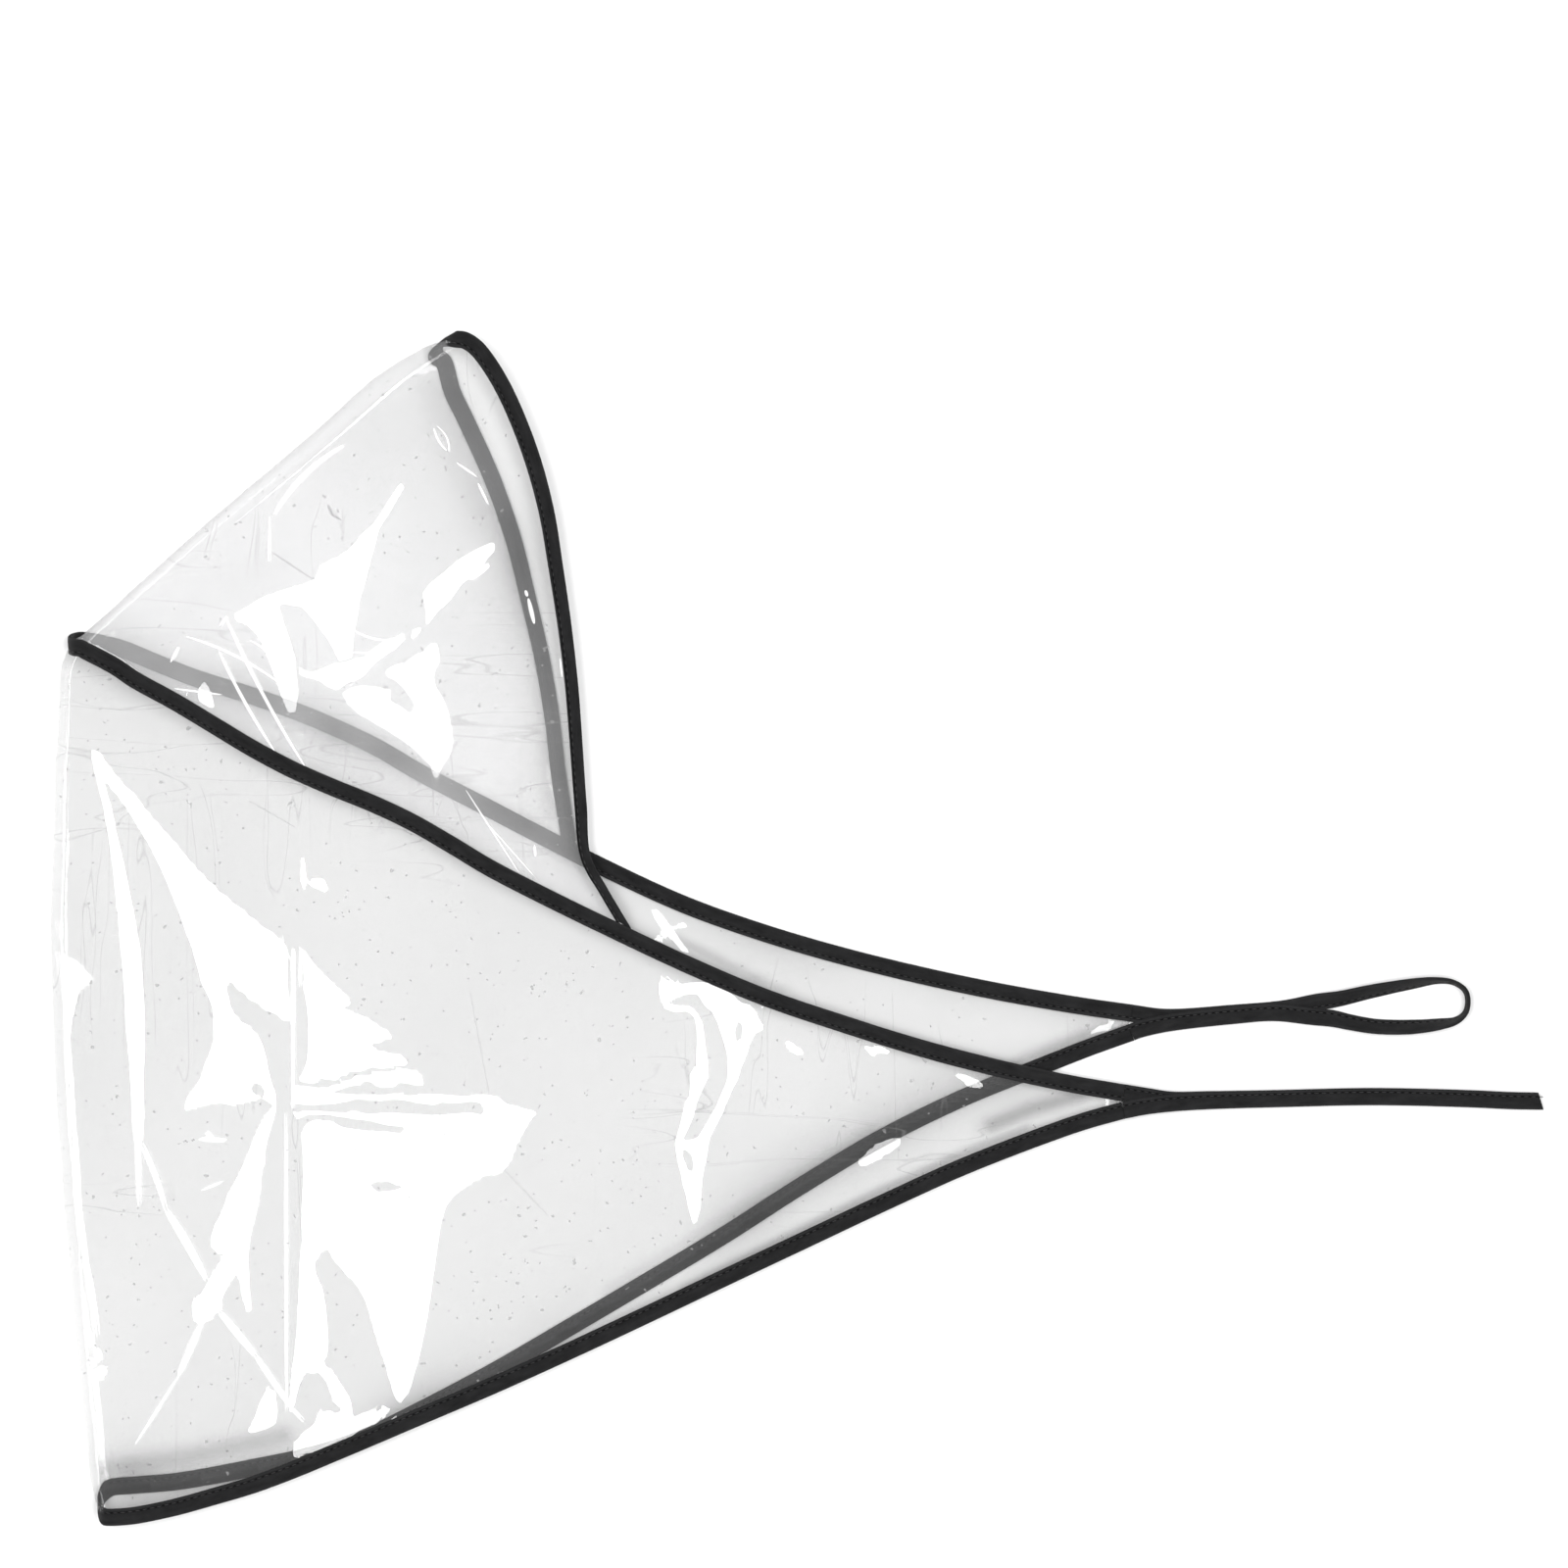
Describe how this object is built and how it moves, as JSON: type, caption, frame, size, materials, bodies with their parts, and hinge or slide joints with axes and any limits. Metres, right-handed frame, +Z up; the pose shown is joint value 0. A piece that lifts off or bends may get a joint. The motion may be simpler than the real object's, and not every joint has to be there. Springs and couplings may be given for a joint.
{
  "type": "rain bonnet",
  "caption": "Folding rain bonnet of clear film with a visor, black bound edges, a plain tie and a loop tie, lying flat and folded in half.",
  "frame": {"origin": "middle of the laid bonnet's outline, on the surface that it lies on", "axes": "+X from the fold to the ends of the ties, +Y from the nape edge to the visor, +Z up off the surface"},
  "size_m": [0.5236, 0.4198, 0.0202],
  "materials": {
    "clear_film": "smooth glossy clear PVC film",
    "black_tape": "matt woven bias tape"
  },
  "bodies": {
    "root": {"crown_panel": "clear_film", "visor_panel": "clear_film", "seam_binding": "black_tape", "nape_binding": "black_tape", "visor_binding": "black_tape", "plain_tie": "black_tape", "loop_tie": "black_tape"}
  },
  "joints": []
}
